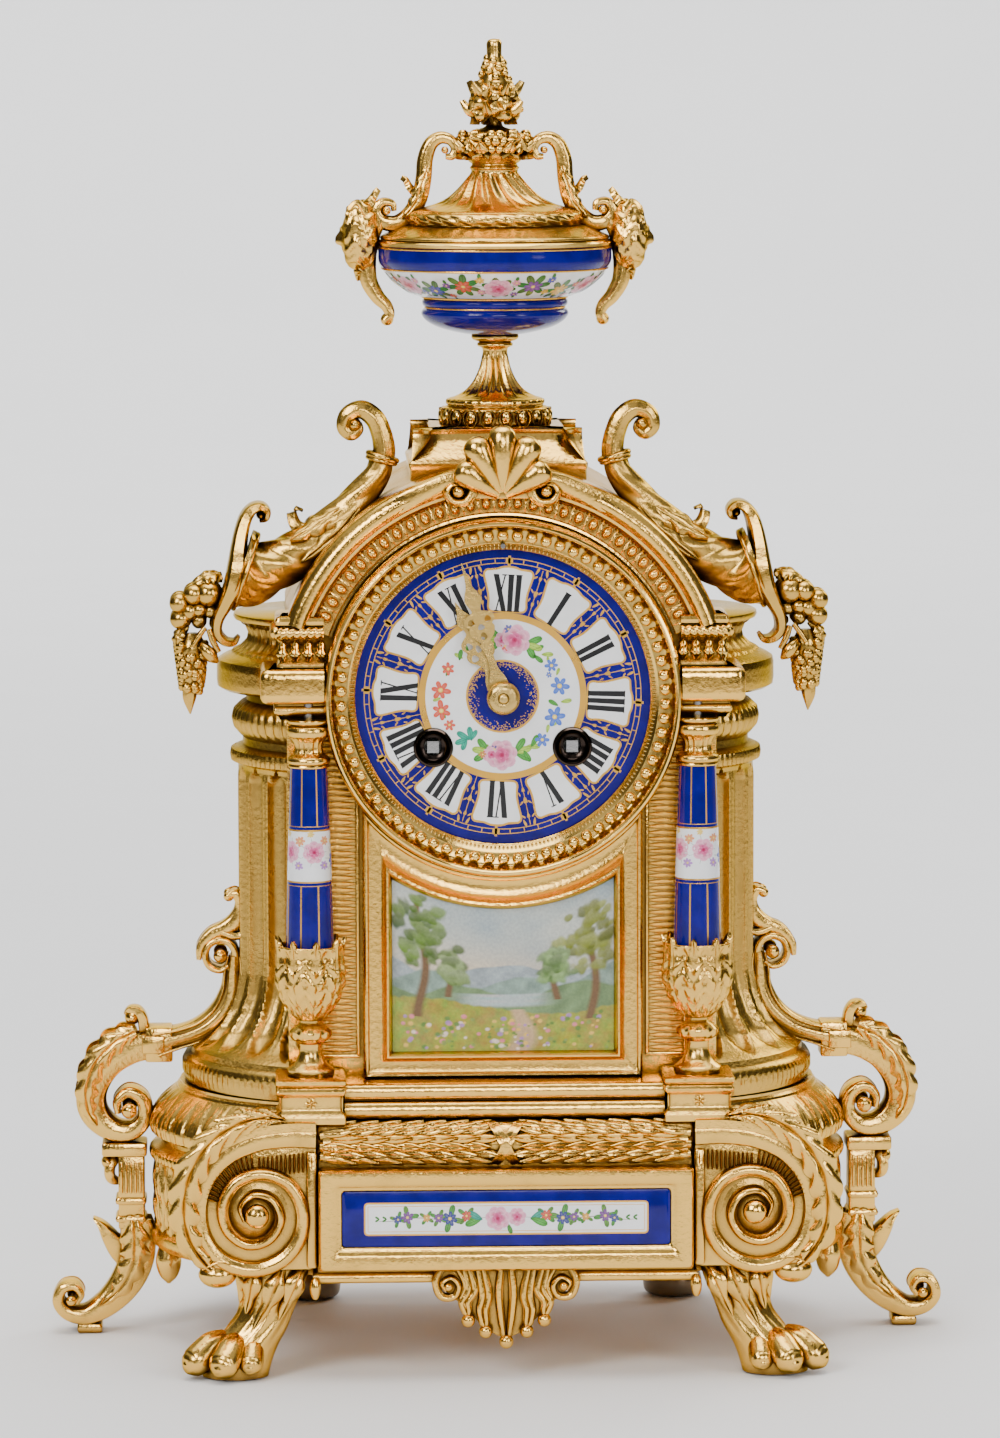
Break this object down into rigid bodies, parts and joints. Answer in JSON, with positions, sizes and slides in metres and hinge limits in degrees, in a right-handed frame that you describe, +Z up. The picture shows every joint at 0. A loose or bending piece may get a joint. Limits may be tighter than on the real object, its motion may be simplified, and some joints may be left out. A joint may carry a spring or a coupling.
{
  "type": "figural mantel clock",
  "caption": "Ornate gilt bronze mantel clock with painted porcelain dial and panels, columns, lion paw feet, scroll supports, an urn finial and a round striking movement.",
  "frame": {"origin": "centre of the clock's footprint at table level", "axes": "+X to the right seen from the front, +Y to the back, +Z up; the dial faces -Y"},
  "size_m": [0.28, 0.15, 0.402],
  "materials": {
    "gilt_bronze": "fire gilt, polished ridges on matt grounds",
    "case_brass": "satin",
    "dark_bronze": "dark patina",
    "blue_porcelain": "glossy glaze",
    "painted_porcelain": "painted and glazed",
    "movement_brass": "polished",
    "hand_brass": "engraved",
    "steel": "polished",
    "bell_bronze": "turned"
  },
  "bodies": {
    "case": {"base_plinth": "gilt_bronze", "left_paw_bracket": "gilt_bronze", "right_paw_bracket": "gilt_bronze", "left_side_scroll": "gilt_bronze", "right_side_scroll": "gilt_bronze", "tablet_frame": "gilt_bronze", "apron_shell": "gilt_bronze", "facade": "gilt_bronze", "left_tower": "gilt_bronze", "right_tower": "gilt_bronze", "picture_frame": "gilt_bronze", "column_feet": "gilt_bronze", "column_caps": "gilt_bronze", "urn_plinth": "gilt_bronze", "urn_stem": "gilt_bronze", "urn_lid": "gilt_bronze", "urn_finial": "gilt_bronze", "urn_handles": "gilt_bronze", "keystone_leaf": "gilt_bronze", "cornucopias": "gilt_bronze", "bezel": "gilt_bronze", "body_shell": "gilt_bronze", "back_plate": "case_brass", "rear_feet": "dark_bronze", "column_shafts": "blue_porcelain", "urn_bowl": "blue_porcelain", "dial": "blue_porcelain", "porcelain_tablet": "blue_porcelain", "porcelain_picture": "painted_porcelain", "dial_pan": "movement_brass", "movement_drum": "movement_brass", "front_movement_plate": "movement_brass", "back_movement_plate": "movement_brass", "movement_pillars": "movement_brass", "tie_rods": "steel", "movement_straps": "steel", "door_hinge_pin": "steel", "case_screws": "steel", "winding_clicks": "steel", "bell_stand": "steel", "bell": "bell_bronze"},
    "minute_hand": {"minute_hand": "hand_brass"},
    "hour_hand": {"hour_hand": "hand_brass"},
    "minute_wheel": {"minute_wheel": "movement_brass"},
    "going_barrel": {"going_barrel": "movement_brass"},
    "intermediate_wheel": {"intermediate_wheel": "movement_brass"},
    "centre_wheel": {"centre_wheel": "movement_brass"},
    "third_wheel": {"third_wheel": "movement_brass"},
    "escape_wheel": {"escape_wheel": "movement_brass"},
    "pallet_anchor": {"pallet_anchor": "steel"},
    "pendulum": {"pendulum": "movement_brass"},
    "going_winding_arbor": {"going_winding_arbor": "steel"},
    "strike_winding_arbor": {"strike_winding_arbor": "steel"},
    "strike_barrel": {"strike_barrel": "movement_brass"},
    "pin_wheel": {"pin_wheel": "movement_brass"},
    "warning_wheel": {"warning_wheel": "movement_brass"},
    "fly": {"fly": "movement_brass"},
    "hammer": {"hammer": "steel"},
    "back_door": {"back_door": "case_brass"},
    "regulator_arbor": {"regulator_arbor": "steel"}
  },
  "joints": [
    {"name": "minute_hand_turn", "type": "hinge", "parent": "case", "child": "minute_hand", "pos_m": [0, 0, 0.2055], "axis": [0, 1, 0], "continuous": true},
    {"name": "hour_hand_turn", "type": "hinge", "parent": "case", "child": "hour_hand", "pos_m": [0, 0, 0.2055], "axis": [0, 1, 0], "continuous": true},
    {"name": "minute_wheel_turn", "type": "hinge", "parent": "case", "child": "minute_wheel", "pos_m": [0, 0, 0.1965], "axis": [0, 1, 0], "continuous": true},
    {"name": "third_wheel_turn", "type": "hinge", "parent": "case", "child": "third_wheel", "pos_m": [-0.00234, 0, 0.21879], "axis": [0, 1, 0], "continuous": true},
    {"name": "centre_wheel_turn", "type": "hinge", "parent": "case", "child": "centre_wheel", "pos_m": [0, 0, 0.2055], "axis": [0, 1, 0], "continuous": true},
    {"name": "intermediate_wheel_turn", "type": "hinge", "parent": "case", "child": "intermediate_wheel", "pos_m": [0.0132, 0, 0.20576], "axis": [0, 1, 0], "continuous": true},
    {"name": "going_barrel_turn", "type": "hinge", "parent": "case", "child": "going_barrel", "pos_m": [0.021, 0, 0.1901], "axis": [0, 1, 0], "continuous": true},
    {"name": "escape_wheel_turn", "type": "hinge", "parent": "case", "child": "escape_wheel", "pos_m": [0, 0, 0.2298], "axis": [0, 1, 0], "continuous": true},
    {"name": "warning_wheel_turn", "type": "hinge", "parent": "case", "child": "warning_wheel", "pos_m": [-0.01515, 0, 0.21684], "axis": [0, 1, 0], "continuous": true},
    {"name": "pin_wheel_turn", "type": "hinge", "parent": "case", "child": "pin_wheel", "pos_m": [-0.0132, 0, 0.20576], "axis": [0, 1, 0], "continuous": true},
    {"name": "strike_barrel_turn", "type": "hinge", "parent": "case", "child": "strike_barrel", "pos_m": [-0.021, 0, 0.1901], "axis": [0, 1, 0], "continuous": true},
    {"name": "fly_turn", "type": "hinge", "parent": "case", "child": "fly", "pos_m": [-0.02244, 0, 0.22122], "axis": [0, 1, 0], "continuous": true},
    {"name": "going_winding_turn", "type": "hinge", "parent": "case", "child": "going_winding_arbor", "pos_m": [0.021, 0, 0.1901], "axis": [0, 1, 0], "continuous": true},
    {"name": "strike_winding_turn", "type": "hinge", "parent": "case", "child": "strike_winding_arbor", "pos_m": [-0.021, 0, 0.1901], "axis": [0, 1, 0], "continuous": true},
    {"name": "pendulum_swing", "type": "hinge", "parent": "case", "child": "pendulum", "pos_m": [0, 0, 0.2403], "axis": [0, 1, 0], "range_deg": [-6, 6]},
    {"name": "pallet_anchor_swing", "type": "hinge", "parent": "case", "child": "pallet_anchor", "pos_m": [0, 0, 0.2403], "axis": [0, 1, 0], "range_deg": [-6, 6]},
    {"name": "hammer_swing", "type": "hinge", "parent": "case", "child": "hammer", "pos_m": [-0.037, 0, 0.1975], "axis": [0, 1, 0], "range_deg": [-18, 0]},
    {"name": "back_door_swing", "type": "hinge", "parent": "case", "child": "back_door", "pos_m": [0.053, 0.0635, 0.2055], "axis": [0, 0, -1], "range_deg": [0, 100]},
    {"name": "regulator_turn", "type": "hinge", "parent": "case", "child": "regulator_arbor", "pos_m": [0, 0, 0.2514], "axis": [0, 1, 0], "continuous": true}
  ],
  "couplings": [
    {"joint": "hour_hand_turn", "follows": "minute_hand_turn", "ratio": 0.083333},
    {"joint": "minute_wheel_turn", "follows": "minute_hand_turn", "ratio": -0.33333},
    {"joint": "centre_wheel_turn", "follows": "third_wheel_turn", "ratio": -0.125},
    {"joint": "intermediate_wheel_turn", "follows": "third_wheel_turn", "ratio": 0.025},
    {"joint": "going_barrel_turn", "follows": "third_wheel_turn", "ratio": -0.0041667},
    {"joint": "escape_wheel_turn", "follows": "third_wheel_turn", "ratio": -8},
    {"joint": "pin_wheel_turn", "follows": "warning_wheel_turn", "ratio": -0.125},
    {"joint": "strike_barrel_turn", "follows": "warning_wheel_turn", "ratio": 0.020833},
    {"joint": "fly_turn", "follows": "warning_wheel_turn", "ratio": -7.5},
    {"joint": "pallet_anchor_swing", "follows": "pendulum_swing", "ratio": 1}
  ]
}
